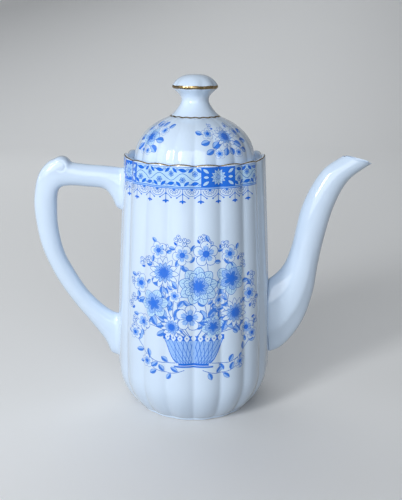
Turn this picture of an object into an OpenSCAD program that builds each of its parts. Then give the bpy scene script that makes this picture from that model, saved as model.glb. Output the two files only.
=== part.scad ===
// Fluted porcelain coffee pot with a lift-off lid.
// Millimetres, +Z up.  The origin is the middle of the foot, on the table.
// The spout points along +X, the handle along -X and the plain side along -Y.

/* [Pot] */
// Height of the rim above the table
rim_h = 184; // [168:1:200]
// Radius over the lobes at the rim
rim_r = 49.3; // [48:0.1:52]
// Radius over the lobes at the widest place
belly_r = 56; // [54:0.1:60]
// Height of the widest place
belly_h = 45; // [38:1:60]
// Radius over the lobes at the lower edge of the side, over the foot ring
foot_r = 44; // [43:0.1:48]
// Thickness of the side wall on a lobe
wall = 4; // [3.6:0.1:5]
// Thickness of the bottom
floor_t = 4.5; // [3.5:0.1:7]
// Radius of the round corner inside the bottom
corner_r = 18; // [14:0.5:24]

/* [Flutes] */
// Number of lobes round the pot and the lid, twice an odd number so that spout and handle sit on lobes
flutes = 18; // [14:4:22]
// Depth of the grooves between the lobes at the rim
groove = 1.5; // [0.5:0.1:2]
// How far the rim's edge rises over a lobe and dips in a groove
rim_wave = 0.6; // [0.1:0.1:1]
// Points that draw one lobe
lobe_points = 6; // [4:2:12]

/* [Foot] */
// Radius of the ring that stands on the table
ring_r = 42; // [40:0.1:43]
// Height of the ring below the side's lower edge
ring_h = 3; // [1.5:0.1:4]
// Width of the ring
ring_w = 4; // [2.5:0.1:6]
// Depth of the recess inside the ring
recess = 3; // [1:0.1:4]

/* [Lid seat] */
// Depth of the seat below the rim
seat_d = 5; // [3:0.1:8]
// Thickness of the lip that stands round the seat, on a lobe
lip_t = 3.1; // [2.5:0.1:3.6]
// Radius of the throat inside the seat
throat_r = 39.5; // [37:0.1:40.5]
// Height of the throat
throat_h = 5; // [3:0.1:8]
// Gap under the lid at its seat
seat_gap = 0.3; // [0.2:0.05:0.6]
// Gap round the lid's skirt in the throat
skirt_gap = 0.9; // [0.5:0.1:2]

/* [Lid] */
// Radius over the lobes at the dome's foot
dome_r = 42.2; // [41.5:0.1:44]
// Height of the dome above its seat
dome_h = 30.6; // [26:0.1:38]
// Thickness of the dome
dome_wall = 3.5; // [3:0.1:4.5]
// Depth of the dome's grooves at its foot
dome_groove = 1.1; // [0.4:0.1:1.6]
// Length of the skirt that hangs in the throat
skirt_h = 12; // [8:0.5:20]
// Thickness of the skirt
skirt_t = 2.8; // [2:0.1:4]

/* [Knob] */
// Radius of the collar where the knob stands on the dome
collar_r = 17.6; // [15:0.1:20]
// Radius of the neck
neck_r = 9.4; // [7:0.1:12]
// Height of the neck above the dome
neck_h = 11; // [8:0.1:14]
// Radius of the widest place
knob_r = 15.8; // [13.5:0.1:19]
// Height of the widest place above the dome
band_h = 20; // [17:0.1:23]
// Height of the whole knob above the dome
knob_h = 28.2; // [26:0.1:34]
// Number of soft lobes round the knob
knob_lobes = 9; // [7:1:12]
// Depth of the hollows between the knob's lobes
knob_groove = 0.7; // [0.2:0.1:1.2]

/* [Spout] */
// Distance of the spout's tip from the pot's axis
spout_reach = 124; // [116:1:135]
// Height of the spout's foot on the pot
spout_low = 34; // [31:0.5:41]
// Height of the spout's tip below the rim
tip_drop = 6; // [0:0.5:15]
// Wall thickness of the spout
spout_wall = 2.4; // [2:0.1:3]
// Half width of the spout at its root
root_half = 10.6; // [9.5:0.1:12]
// How far the sides are drawn in under the crease of the keel, as a share of the half width
keel = 0.22; // [0:0.01:0.4]
// Half width of the spout at its mouth
mouth_half = 7.4; // [6.8:0.1:8.4]
// Diameter of the strainer holes behind the spout
hole_d = 5; // [4:0.1:5.4]
// Rows of strainer holes
hole_rows = 5; // [3:1:6]
// Distance from one row of holes to the next
hole_step = 6.4; // [6:0.1:7]

/* [Handle] */
// Distance of the handle's back from the pot's axis
handle_reach = 113.8; // [106:0.1:125]
// Height of the handle's foot on the pot
handle_low = 33; // [29:0.5:39]
// Depth of the handle's arm below the rim
arm_drop = 8; // [5:0.5:14]
// Half width of the handle
handle_half = 6.6; // [5:0.1:8]
// Radius of the rolled thumb scroll
scroll_r = 6.8; // [5:0.1:8]
// Half width of the scroll
scroll_half = 7.4; // [6:0.1:9]
// Distance of the scroll's axis in from the handle's back
scroll_in = 20.6; // [17:0.1:23]
// Radius of the scroll's rounded edge
scroll_round = 2; // [1:0.1:2.4]

/* [Hidden] */
glaze = [0.93, 0.95, 0.98];

round_h = belly_h * 0.62;           // height of the round corner over the foot ring
corner_z = ring_h + round_h;
seat_z = rim_h - seat_d;
lid_z = seat_z + seat_gap;
dome_z = lid_z + dome_h;
ring_groove = groove * 0.4;         // depth of the grooves in the foot ring
foot_edge = 0.5;                    // height of the undercut between ring and side
skirt_r = throat_r - skirt_gap;
ring_points = flutes * lobe_points;
root_x = rim_r - 1;                 // where spout and handle start, inside the pot's skin
spout_out = spout_reach - root_x;
spout_up = rim_h - tip_drop - spout_low;
handle_out = handle_reach - root_x;
arm_z = rim_h - arm_drop;
handle_up = arm_z - handle_low;
strainer_share = 0.185;             // height of the strainer's middle, as a share of the spout's rise
hole_pairs = 0.65;                  // half the distance between paired strainer holes, in rows
spout_round = 20;                   // points round the spout
channel_round = 16;                 // points round its channel
handle_round = 16;                  // points round the handle
crease = 0.31;                      // place of the keel's crease between spout's middle and outline
keel_end = 4.5;                     // station of the spout where the keel has died away
spout_step = 0.34;                  // share of a station from one ring of the spout to the next
handle_step = 0.5;                  // the same for the handle

// A cubic Bezier curve through four points
function bezier(p, t) = pow(1 - t, 3) * p[0] + 3 * t * pow(1 - t, 2) * p[1]
    + 3 * t * t * (1 - t) * p[2] + pow(t, 3) * p[3];

// A smooth curve through every point of a list; t counts the points
function through(p, t) =
    let (i = min(floor(t), len(p) - 2), u = t - i,
         a = p[max(i - 1, 0)], b = p[i], c = p[i + 1], d = p[min(i + 2, len(p) - 1)])
    b + (c - a) * u / 2 + (2 * a - 5 * b + 4 * c - d) * u * u / 2
      + (3 * b - a - 3 * c + d) * u * u * u / 2;

// Share of the groove's depth at an angle: 0 on a lobe's crest, 1 in the groove
function dip(a, n) = 1 - pow(abs(cos(a * n / 2)), 0.7);

// Radius of the pot over its lobes at a height
function body_r(z) =
    z < corner_z ? foot_r + (belly_r - foot_r) * pow(sin(90 * max(z - ring_h, 0) / round_h), 0.8)
    : z < belly_h ? belly_r
    : belly_r - (belly_r - rim_r) * pow((z - belly_h) / (rim_h - belly_h), 1.3);

// A level ring of n lobes; wave lifts its crests and lowers its grooves
function lobed_ring(r, z, depth, n, count, wave = 0) = [
    for (i = [0 : count - 1])
        let (a = 360 * i / count, s = dip(a, n), q = r - depth * s)
            [q * cos(a), q * sin(a), z + wave * (1 - 2 * s)]];

function mean(ring) = [for (i = [0 : len(ring) - 1]) 1] * ring / len(ring);

// A closed solid through rings of equally many points, with a flat cap on each end
module loft(rings) {
    n = len(rings[0]);
    last = len(rings) - 1;
    foot = n * (last + 1);
    polyhedron(
        points = concat([for (r = rings) each r], [mean(rings[0]), mean(rings[last])]),
        faces = [
            for (i = [0 : n - 1]) let (j = (i + 1) % n) each concat(
                [[foot, i, j], [foot + 1, last * n + j, last * n + i]],
                [for (k = [0 : last - 1]) [k * n + i, (k + 1) * n + i, (k + 1) * n + j]],
                [for (k = [0 : last - 1]) [k * n + i, (k + 1) * n + j, k * n + j]])],
        convexity = 8);
}

// ---- Pot ----

body_levels = concat(
    [for (k = [1 : 5]) ring_h + round_h * k / 5],
    [for (k = [0 : 5]) belly_h + (rim_h - 3 - belly_h) * k / 5]);

body_rings = concat(
    [lobed_ring(ring_r, 0, ring_groove, flutes, ring_points),
     lobed_ring(ring_r, ring_h - foot_edge, ring_groove, flutes, ring_points),
     lobed_ring(foot_r, ring_h, groove * 0.8, flutes, ring_points)],
    [for (z = body_levels)
        lobed_ring(body_r(z), z, groove * body_r(z) / rim_r, flutes, ring_points)],
    [lobed_ring(rim_r, rim_h - rim_wave - 0.6, groove, flutes, ring_points, rim_wave),
     lobed_ring(rim_r - 0.8, rim_h - rim_wave, groove, flutes, ring_points, rim_wave),
     lobed_ring(rim_r - 2, rim_h - rim_wave * 2 - 0.8, groove / 3, flutes, ring_points)]);

// The part of the pot that faces one way, to trim what is luted on there; first is a ring's point
function sector(rings, first) = [
    for (r = rings) concat(
        [for (i = [-lobe_points - 2 : lobe_points + 2]) r[(first + i + ring_points) % ring_points]],
        [[0, 0, r[0][2]]])];

module pot_hollow() {
    floor_z = recess + floor_t;
    side_z = floor_z + corner_r;
    side_r = body_r(side_z) - wall;
    neck_z = seat_z - throat_h;
    shoulder_z = neck_z - 1.2 * (body_r(neck_z) - wall - throat_r);
    lip_r = rim_r - lip_t;
    rotate_extrude($fn = 96) polygon(concat(
        [[0, floor_z]],
        [for (a = [0 : 15 : 90])
            [side_r - corner_r * (1 - sin(a)), side_z - corner_r * cos(a)]],
        [for (k = [1 : 6]) let (z = side_z + (shoulder_z - side_z) * k / 6) [body_r(z) - wall, z]],
        [[throat_r, neck_z], [throat_r, seat_z], [lip_r, seat_z], [lip_r, rim_h + 1], [0, rim_h + 1]]));
}

module foot_recess() {
    recess_r = ring_r - ring_groove - ring_w;
    translate([0, 0, -1]) cylinder(h = recess + 1, r1 = recess_r + 0.5, r2 = recess_r - 1, $fn = 96);
}

// Rows of one and two holes by turns, in line with the spout's channel
module strainer_holes() {
    mid_z = spout_low + strainer_share * spout_up;
    drill = 24;
    for (k = [0 : hole_rows - 1]) {
        z = mid_z + (k - (hole_rows - 1) / 2) * hole_step;
        for (y = k % 2 == 0 ? [-hole_pairs, hole_pairs] : [0])
            translate([root_x - drill / 2, y * hole_step, z]) rotate([0, 90, 0])
                cylinder(h = drill, d = hole_d, $fn = 32);
    }
}

module pot_body() color(glaze) difference() {
    loft(body_rings);
    pot_hollow();
    foot_recess();
    strainer_holes();
}

// ---- Spout and handle: ovals between two outlines in the plane of the axis ----

// Each station holds a point of the outer outline, one of the inner outline and the half width;
// pinch draws the sides in between the outer outline and the crease
function oval(s, inset, count, pinch = 0) =
    let (a = [s[0], 0, s[1]], b = [s[2], 0, s[3]], arm = (a - b) / 2,
         reach = arm * (1 - inset / norm(arm)), half = s[4] - inset)
    [for (i = [0 : count - 1])
        let (c = cos(360 * i / count), y = sin(360 * i / count),
             low = max(0, (c - crease) / (1 - crease)))
            (a + b) / 2 + reach * c + [0, half * (y - sign(y) * pinch * 4 * low * (1 - low)), 0]];

// Outlines in shares of the reach from the root and of the rise from the foot
spout_shares = [
    [0.00, 0.00, 0.00, 0.38],
    [0.22, 0.04, 0.14, 0.43],
    [0.41, 0.17, 0.23, 0.49],
    [0.51, 0.33, 0.29, 0.58],
    [0.55, 0.49, 0.325, 0.67],
    [0.60, 0.64, 0.365, 0.77],
    [0.68, 0.80, 0.44, 0.87],
    [0.80, 0.92, 0.56, 0.97],
    [1.00, 1.00, 0.73, 1.035]];

spout_stations = [
    for (k = [0 : len(spout_shares) - 1]) let (s = spout_shares[k], u = k / (len(spout_shares) - 1))
        [root_x + s[0] * spout_out, spout_low + s[1] * spout_up,
         root_x + s[2] * spout_out, spout_low + s[3] * spout_up,
         root_half + (mouth_half - root_half) * pow(u, 1.5)]];

module spout_form(inset, count, past) {
    last = len(spout_stations) - 1;
    rings = [for (t = [0 : spout_step : last])
        oval(through(spout_stations, t), inset, count, keel * max(0, 1 - t / keel_end))];
    ends = oval(spout_stations[last], inset, count);
    loft(concat(rings, [ends], past ? [[for (p = ends) p + [1, 0, 3]]] : []));
}

module spout() color(glaze) difference() {
    spout_form(0, spout_round, false);
    spout_form(spout_wall, channel_round, true);
    loft(sector(body_rings, 0));
}

// The same shares for the handle, then the share of its half width
handle_shares = [
    [0.00, 0.985, 0.00, 0.78, 1],
    [0.05, 0.985, 0.07, 0.785, 1],
    [0.12, 0.99, 0.145, 0.83, 1],
    [0.23, 0.995, 0.24, 0.882, 1],
    [0.39, 1.00, 0.42, 0.89, 1],
    [0.57, 1.01, 0.60, 0.895, 1.05],
    [0.77, 1.028, 0.70, 0.885, 1.12],
    [0.93, 0.955, 0.74, 0.85, 1.1],
    [0.995, 0.83, 0.75, 0.79, 1.02],
    [0.985, 0.71, 0.75, 0.69, 1],
    [0.925, 0.57, 0.70, 0.565, 1],
    [0.785, 0.42, 0.60, 0.465, 1],
    [0.605, 0.29, 0.455, 0.355, 1],
    [0.42, 0.18, 0.29, 0.275, 1],
    [0.265, 0.08, 0.17, 0.237, 1],
    [0.20, 0.012, 0.06, 0.218, 1],
    [0.10, 0.00, 0.02, 0.213, 1],
    [0.00, 0.00, 0.00, 0.213, 1]];

handle_stations = [
    for (s = handle_shares)
        [-root_x - s[0] * handle_out, handle_low + s[1] * handle_up,
         -root_x - s[2] * handle_out, handle_low + s[3] * handle_up, handle_half * s[4]]];

// A roll lying across the handle, with a round bead on each end
module scroll() {
    bead_r = scroll_r * 0.45;
    cheek = scroll_half - 0.4;
    dish = 0.5;
    edge_depth = scroll_round * 0.8;
    translate([scroll_in - handle_reach, 0, arm_z]) rotate([90, 0, 0]) rotate_extrude($fn = 48)
        for (side = [0, 1]) mirror([0, side]) polygon(concat(
            [[0, 0], [scroll_r, 0]],
            [for (a = [0 : 15 : 90])
                [scroll_r - scroll_round * (1 - cos(a)), cheek - edge_depth * (1 - sin(a))]],
            [[bead_r, cheek - dish], [0, scroll_half]]));
}

module handle() color(glaze) difference() {
    union() {
        loft([for (t = [0 : handle_step : len(handle_stations) - 1])
            oval(through(handle_stations, t), 0, handle_round)]);
        scroll();
    }
    loft(sector(body_rings, ring_points / 2));
}

// ---- Lid ----

dome_curve = [[dome_r, lid_z], [dome_r - 0.4, lid_z + 0.44 * dome_h],
    [dome_r - 7.7, lid_z + 0.79 * dome_h], [collar_r, dome_z]];

module lid_dome() color(glaze) difference() {
    union() {
        loft([for (t = [0 : 0.125 : 1]) let (p = bezier(dome_curve, t))
            lobed_ring(p[0], p[1], dome_groove * (1 - 0.8 * t), flutes, ring_points)]);
        translate([0, 0, lid_z - skirt_h]) cylinder(h = skirt_h + 2, r = skirt_r, $fn = 96);
    }
    hollow_r = skirt_r - skirt_t;
    hollow_curve = [[hollow_r, lid_z], [hollow_r, lid_z + 0.44 * dome_h],
        [hollow_r - 8, dome_z - dome_wall - 2], [0, dome_z - dome_wall]];
    rotate_extrude($fn = 96) polygon(concat([[0, lid_z - skirt_h - 1], [hollow_r, lid_z - skirt_h - 1]],
        [for (t = [0 : 0.125 : 1]) bezier(hollow_curve, t)]));
}

knob_curves = [
    [[collar_r - 0.4, 0], [neck_r + 2.4, 4], [neck_r, neck_h - 4], [neck_r, neck_h]],
    [[neck_r, neck_h], [neck_r, neck_h + 4.5], [knob_r - 1.4, band_h - 3.2], [knob_r, band_h]],
    [[knob_r, band_h], [knob_r - 0.6, band_h + 3.4], [knob_r * 0.62, knob_h], [knob_r * 0.2, knob_h]]];

module lid_knob() color(glaze) translate([0, 0, dome_z]) rotate([0, 0, -90]) loft([
    for (k = [0 : 2], t = k == 0 ? [0 : 0.25 : 1] : [0.25 : 0.25 : 1])
        let (p = bezier(knob_curves[k], t), swell = max(0, (p[0] - neck_r) / (knob_r - neck_r)))
            lobed_ring(p[0], p[1], k == 0 ? 0 : knob_groove * swell, knob_lobes, knob_lobes * lobe_points)]);

pot_body();
spout();
handle();
lid_dome();
lid_knob();
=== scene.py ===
import math
from bisect import bisect_left, bisect_right

import bmesh
import bpy
from bpy.props import FloatProperty, FloatVectorProperty, IntProperty, PointerProperty
from bpy.types import Operator, Panel, PropertyGroup
from mathutils import Matrix, Vector
from mathutils.kdtree import KDTree


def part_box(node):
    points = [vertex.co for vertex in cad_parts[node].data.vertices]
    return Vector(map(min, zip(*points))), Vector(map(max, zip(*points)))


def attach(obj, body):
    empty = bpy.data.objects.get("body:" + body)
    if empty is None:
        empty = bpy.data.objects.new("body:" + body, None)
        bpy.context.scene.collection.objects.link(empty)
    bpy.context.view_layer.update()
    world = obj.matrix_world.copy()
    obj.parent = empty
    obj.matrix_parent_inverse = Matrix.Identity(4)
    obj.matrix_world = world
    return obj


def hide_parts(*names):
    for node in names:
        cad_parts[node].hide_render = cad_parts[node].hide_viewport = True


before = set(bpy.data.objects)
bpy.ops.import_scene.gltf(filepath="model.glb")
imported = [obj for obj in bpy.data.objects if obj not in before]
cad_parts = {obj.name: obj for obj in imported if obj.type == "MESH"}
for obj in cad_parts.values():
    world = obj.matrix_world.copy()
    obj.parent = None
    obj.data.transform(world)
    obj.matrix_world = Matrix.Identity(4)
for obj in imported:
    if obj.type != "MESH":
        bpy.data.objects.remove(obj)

bl_info = {
    "name": "Fluted Coffee Pot",
    "version": (1, 0, 0),
    "blender": (4, 5, 0),
    "location": "3D View > Sidebar > Coffee Pot",
    "description": "Glazed porcelain, gilding and blue print of a fluted coffee pot",
    "category": "Add Mesh",
}

MM = 0.001
LOBE_COLUMNS = 16  # columns of faces in one lobe of the pot and the dome
KNOB_LOBE_COLUMNS = 20
KNOB_SOFTNESS = 0.35
SPOUT_ROUND, HANDLE_ROUND = 64, 40  # points round a ring of the spout and the handle
DOME_ROWS = 32
DOME_RISE = 42  # millimetres up along the dome, from its foot to the collar
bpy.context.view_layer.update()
POT_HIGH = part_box("pot_body")[1]
KNOB_LOW, KNOB_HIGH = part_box("lid_knob")
SPOUT_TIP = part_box("spout")[1]
HANDLE_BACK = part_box("handle")[0]


# ---- Sizes and colours that a user would change ----

def length(name, millimetres, text):
    return FloatProperty(name=name, description=text, default=millimetres * MM, min=0.0,
                         subtype="DISTANCE", unit="LENGTH", precision=5)


def share(name, value, text):
    return FloatProperty(name=name, description=text, default=value, min=0.0, max=1.0, subtype="FACTOR")


def count(name, value, text):
    return IntProperty(name=name, description=text, default=value, min=1)


def colour(name, value, text):
    return FloatVectorProperty(name=name, description=text, default=value, size=3,
                               min=0.0, max=1.0, subtype="COLOR")


class PotSizes(PropertyGroup):
    rim_height: length("Rim Height", POT_HIGH.z / MM, "Height of the rim's crests above the table")
    rim_radius: length("Rim Radius", 49.3, "Radius over the lobes at the rim")
    belly_radius: length("Belly Radius", 56, "Radius over the lobes at the widest place")
    belly_height: length("Belly Height", 45, "Height of the widest place")
    foot_radius: length("Foot Radius", 44, "Radius over the lobes at the side's lower edge")
    wall: length("Wall", 4, "Thickness of the side wall on a lobe")
    floor: length("Floor", 7.5, "Height of the inside bottom above the table")
    corner: length("Corner", 18, "Radius of the round corner inside the bottom")
    lobes: count("Lobes", 18, "Number of lobes round the pot and the lid")
    groove: length("Groove", 1.5, "Depth of the grooves at the rim")
    wave: length("Rim Wave", 0.6, "How far the rim rises over a lobe and dips in a groove")
    softness: share("Groove Softness", 0.1, "Roundness of the bottom of a groove")
    ring_radius: length("Ring Radius", 42, "Radius of the ring that stands on the table")
    ring_height: length("Ring Height", 3, "Height of the ring below the side's lower edge")
    ring: length("Ring Width", 4, "Width of the ring, whose underside is unglazed")
    recess: length("Recess", 3, "Depth of the recess inside the ring")
    seat: length("Seat Depth", 5, "Depth of the lid's seat below the rim")
    lip: length("Lip", 3.1, "Thickness of the lip round the seat")
    throat: length("Throat", 39.5, "Radius of the throat below the seat")
    hole: length("Strainer Hole", 5, "Diameter of the holes behind the spout")
    hole_step: length("Hole Step", 6.4, "Distance from one row of holes to the next")


class SpoutSizes(PropertyGroup):
    reach: length("Reach", SPOUT_TIP.x / MM, "Distance of the tip from the pot's axis")
    foot: length("Foot", 34, "Height of the spout's foot on the pot")
    top: length("Tip Height", 178, "Height of the tip")
    root: length("Root Half Width", 10.6, "Half width at the root")
    mouth: length("Mouth Half Width", 7.4, "Half width at the mouth")
    wall: length("Spout Wall", 2.4, "Thickness of the spout's wall")
    keel: share("Keel", 0.22, "How far the sides are drawn in under the crease of the keel")
    crease: share("Crease", 0.31, "Place of the crease between the middle and the outer outline")
    fillet: length("Root Fillet", 1.4, "Radius of the slip that closes the seam at the root")


class HandleSizes(PropertyGroup):
    reach: length("Reach", -HANDLE_BACK.x / MM + 0.14, "Distance of the handle's back from the axis")
    foot: length("Foot", 33, "Height of the handle's foot on the pot")
    arm: length("Arm Height", 176, "Height of the arm's top")
    half: length("Half Width", 6.6, "Half width of the handle")
    scroll: length("Scroll Radius", 6.8, "Radius of the rolled thumb scroll")
    scroll_half: length("Scroll Half Width", 7.4, "Half width of the scroll")
    scroll_in: length("Scroll Place", 20.6, "Distance of the scroll's axis in from the back")
    groove: length("Scroll Groove", 0.6, "Depth of the groove that winds round the scroll's cheek")
    fillet: length("Root Fillet", 3.6, "Radius of the soft join at both roots")


class LidSizes(PropertyGroup):
    seat: length("Seat Height", 179.3, "Height of the dome's foot")
    dome: length("Dome Height", 30.6, "Height of the dome above its foot")
    radius: length("Dome Radius", 42.2, "Radius over the lobes at the dome's foot")
    wall: length("Dome Wall", 3.5, "Thickness of the dome")
    groove: length("Dome Groove", 1.1, "Depth of the grooves at the dome's foot")
    skirt: length("Skirt", 12, "Length of the skirt that hangs in the throat")
    skirt_radius: length("Skirt Radius", 38.6, "Outer radius of the skirt")
    skirt_wall: length("Skirt Wall", 2.8, "Thickness of the skirt")
    collar: length("Collar Radius", 17.6, "Radius where the knob stands on the dome")
    neck: length("Neck Radius", 9.4, "Radius of the knob's neck")
    neck_height: length("Neck Height", 11, "Height of the neck above the dome")
    knob: length("Knob Radius", 15.8, "Radius of the knob's widest place")
    band: length("Band Height", 20, "Height of the knob's widest place above the dome")
    knob_height: length("Knob Height", (KNOB_HIGH.z - KNOB_LOW.z) / MM, "Height of the whole knob")
    knob_lobes: count("Knob Lobes", 9, "Number of soft lobes round the knob")
    knob_groove: length("Knob Groove", 0.7, "Depth of the hollows between the knob's lobes")


class Finishes(PropertyGroup):
    porcelain: colour("Porcelain", (0.66, 0.80, 0.98), "Colour of the body under the clear glaze")
    biscuit: colour("Foot Ring", (0.62, 0.52, 0.44), "Colour of the unglazed ring of the foot")
    cobalt: colour("Cobalt", (0.002, 0.155, 0.78), "Solid print of panels and leaves")
    mid: colour("Mid Blue", (0.03, 0.20, 0.78), "Middle tone of the print")
    line: colour("Line Blue", (0.035, 0.19, 0.68), "Fine engraved lines")
    wash: colour("Pale Wash", (0.29, 0.51, 0.95), "Pale tone that fills petals and leaves")
    tint: colour("Pale Ground", (0.48, 0.72, 0.98), "Faintly blue ground of the border")
    # The gold is written as a dark bronze, darker than real gold: painted dark reflection of dark
    # surroundings
    gold: colour("Burnished Gold", (0.31, 0.22, 0.105), "Gilded lines")
    floor: colour("Floor", (0.84, 0.85, 0.86), "Colour of the floor and the backdrop")


class CoffeePot(PropertyGroup):
    pot: PointerProperty(type=PotSizes)
    spout: PointerProperty(type=SpoutSizes)
    handle: PointerProperty(type=HandleSizes)
    lid: PointerProperty(type=LidSizes)
    finish: PointerProperty(type=Finishes)


def sizes():
    return bpy.context.scene.coffee_pot


# ---- Curves ----

def bezier(points, t):
    a, b, c, d = (Vector(p) for p in points)
    return (1 - t) ** 3 * a + 3 * t * (1 - t) ** 2 * b + 3 * t * t * (1 - t) * c + t ** 3 * d


def through(points, t):
    """A point of the smooth curve through every row of a list; t counts the rows."""
    i = min(int(t), len(points) - 2)
    u = t - i
    rows = [points[max(i - 1, 0)], points[i], points[i + 1], points[min(i + 2, len(points) - 1)]]
    return [b + (c - a) * u / 2 + (2 * a - 5 * b + 4 * c - d) * u * u / 2
            + (3 * b - a - 3 * c + d) * u ** 3 / 2 for a, b, c, d in zip(*rows)]


def dip(angle, lobes, softness):
    """0 on a lobe's crest, 1 in the groove beside it."""
    high, low = (1 + softness ** 2) ** 0.35, softness ** 0.7
    return (high - (math.cos(angle * lobes / 2) ** 2 + softness ** 2) ** 0.35) / (high - low)


def side_radius(z):
    """Radius of the pot over its lobes at a height."""
    p = sizes().pot
    corner = p.belly_height * 0.62
    if z < p.ring_height + corner:
        swell = math.sin(math.pi / 2 * max(z - p.ring_height, 0) / corner) ** 0.8
        return p.foot_radius + (p.belly_radius - p.foot_radius) * swell
    if z < p.belly_height:
        return p.belly_radius
    rise = min((z - p.belly_height) / (p.rim_height - p.belly_height), 1)
    return p.belly_radius - (p.belly_radius - p.rim_radius) * rise ** 1.3


def side_rows(rows=66):
    """Heights of the rows of the pot's side, from its lower edge to the lip."""
    p = sizes().pot
    rise = p.rim_height - 4.2 * MM - p.ring_height
    return [p.ring_height + rise * k / rows for k in range(1, rows + 1)]


def skin_radius(angle, z):
    """Radius of the fluted skin of the pot."""
    p = sizes().pot
    r = side_radius(z)
    return r - p.groove * r / p.rim_radius * dip(angle, p.lobes, p.softness)


def dome_point(t):
    """Radius and height of the dome over its lobes; t runs from its foot to the collar."""
    d = sizes().lid
    top = d.seat + d.dome
    p = bezier([(d.radius, d.seat, 0), (d.radius - 0.4 * MM, d.seat + 0.44 * d.dome, 0),
                (d.radius - 7.7 * MM, d.seat + 0.79 * d.dome, 0), (d.collar, top, 0)], t)
    return p.x, p.y


def dome_share(k):
    """How far up the dome its row k of points lies; row 0 is a little above the foot."""
    return 0.03 + 0.97 * k / DOME_ROWS


def dome_groove(t):
    """Depth of the dome's grooves, which fade out on the way up."""
    return sizes().lid.groove * (1 - 0.8 * t)


# ---- Meshes ----

def placed(name, data):
    """A new object in the scene."""
    obj = bpy.data.objects.new(name, data)
    bpy.context.scene.collection.objects.link(obj)
    return obj


def finished(name, bm, body, nodes, materials, smooth_angle=40, normals=None):
    """The object of a finished mesh, riding on its body of the frame."""
    mesh = bpy.data.meshes.new(name)
    bm.to_mesh(mesh)
    bm.free()
    for m in materials:
        mesh.materials.append(m)
    for polygon in mesh.polygons:
        polygon.use_smooth = True
    if normals:
        mesh.normals_split_custom_set_from_vertices(normals)
    elif smooth_angle:
        mesh.set_sharp_from_angle(angle=math.radians(smooth_angle))
    obj = placed(name, mesh)
    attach(obj, body)
    if nodes:
        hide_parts(*nodes)
    return obj


def turned(profile, steps, lobes, softness, turn=0.0):
    """A profile of (radius, height, groove depth, rim wave) spun about the axis and fluted."""
    bm = bmesh.new()
    depth = bm.verts.layers.float.new("groove")
    wave = bm.verts.layers.float.new("wave")
    points = []
    for r, z, d, w in profile:
        v = bm.verts.new((r, 0, z))
        v[depth], v[wave] = d, w
        points.append(v)
    edges = [bm.edges.new(pair) for pair in zip(points, points[1:])]
    bmesh.ops.spin(bm, geom=points + edges, cent=(0, 0, 0), axis=(0, 0, 1), dvec=(0, 0, 0),
                   angle=2 * math.pi, steps=steps, use_merge=True, use_duplicate=False)
    bmesh.ops.remove_doubles(bm, verts=bm.verts, dist=1e-6)
    for v in bm.verts:
        if v[depth] or v[wave]:
            s = dip(math.atan2(v.co.y, v.co.x) - turn, lobes, softness)
            r = math.hypot(v.co.x, v.co.y)
            v.co.xy *= (r - v[depth] * s) / r
            v.co.z += v[wave] * (1 - 2 * s)
    bmesh.ops.recalc_face_normals(bm, faces=bm.faces)
    return bm


def fluted(profile):
    """A profile spun with the lobes of the pot, which the dome shares."""
    p = sizes().pot
    return turned(profile, LOBE_COLUMNS * p.lobes, p.lobes, p.softness)


def knob_lobed(profile):
    """A profile spun with the lobes of the knob, one of them facing the front."""
    lobes = sizes().lid.knob_lobes
    return turned(profile, KNOB_LOBE_COLUMNS * lobes, lobes, KNOB_SOFTNESS, -math.pi / 2)


def drawn(rings, closed=True):
    """A skin drawn from ring to ring, or from row to row; each lists equally many points."""
    bm = bmesh.new()
    place = bm.verts.layers.int.new("place")
    if closed:
        first = bmesh.ops.create_circle(bm, segments=len(rings[0]), radius=1)["verts"]
    else:
        first = [bm.verts.new() for _ in rings[0]]
        for pair in zip(first, first[1:]):
            bm.edges.new(pair)
    for i, v in enumerate(first):
        v[place] = i
        v.co = rings[0][i]
    start = list(bm.edges)
    edges = start
    for ring in rings[1:]:
        grown = bmesh.ops.extrude_edge_only(bm, edges=edges)["geom"]
        new = {g for g in grown if isinstance(g, bmesh.types.BMVert)}
        for v in new:
            v.co = ring[v[place]]
        edges = [g for g in grown if isinstance(g, bmesh.types.BMEdge) and new.issuperset(g.verts)]
    return bm, start, edges


def above_skin(point):
    """Distance of a point outside the pot's fluted skin, measured from the axis."""
    return math.hypot(point.x, point.y) - skin_radius(math.atan2(point.y, point.x), point.z)


def seat_on_pot(bm, fillet, moving=None, sunk=1.2 * MM, upright=1.0):
    """Joins a root to the pot: a soft fillet outside the skin, and the rest trimmed just under it.
    Upright is the share of the fillet that is left above and below the root."""
    bm.normal_update()
    moves = []
    for v in bm.verts if moving is None else moving:
        off = above_skin(v.co)
        if off > fillet:
            continue
        outward = Vector((v.co.x, v.co.y, 0)).normalized()
        along = v.normal - v.normal.dot(outward) * outward
        spread = fillet - math.sqrt(max(fillet ** 2 - (fillet - max(off, 0)) ** 2, 0))
        along = along.normalized() * min(along.length * 1.6, 1) if along.length > 0.05 else Vector()
        along.z *= upright
        target = v.co + along * spread
        moves.append((v, target, max(off, -sunk)))
    for v, target, off in moves:
        angle = math.atan2(target.y, target.x)
        r = skin_radius(angle, target.z) + off
        v.co = (r * math.cos(angle), r * math.sin(angle), target.z)


# ---- Finishes ----

def dial(node, values):
    """Sets inputs of a node by their names."""
    for name, value in values.items():
        node.inputs[name].default_value = value


def shader(name):
    """A material with its principled shader and the object's own coordinates."""
    material = bpy.data.materials.new(name)
    material.use_nodes = True
    tree = material.node_tree
    place = tree.nodes.new("ShaderNodeTexCoord")
    return material, tree, tree.nodes["Principled BSDF"], place.outputs["Object"]


def noise(tree, place, scale, detail=2.0):
    texture = tree.nodes.new("ShaderNodeTexNoise")
    dial(texture, {"Scale": scale, "Detail": detail})
    tree.links.new(place, texture.inputs["Vector"])
    return texture.outputs["Fac"]


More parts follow.
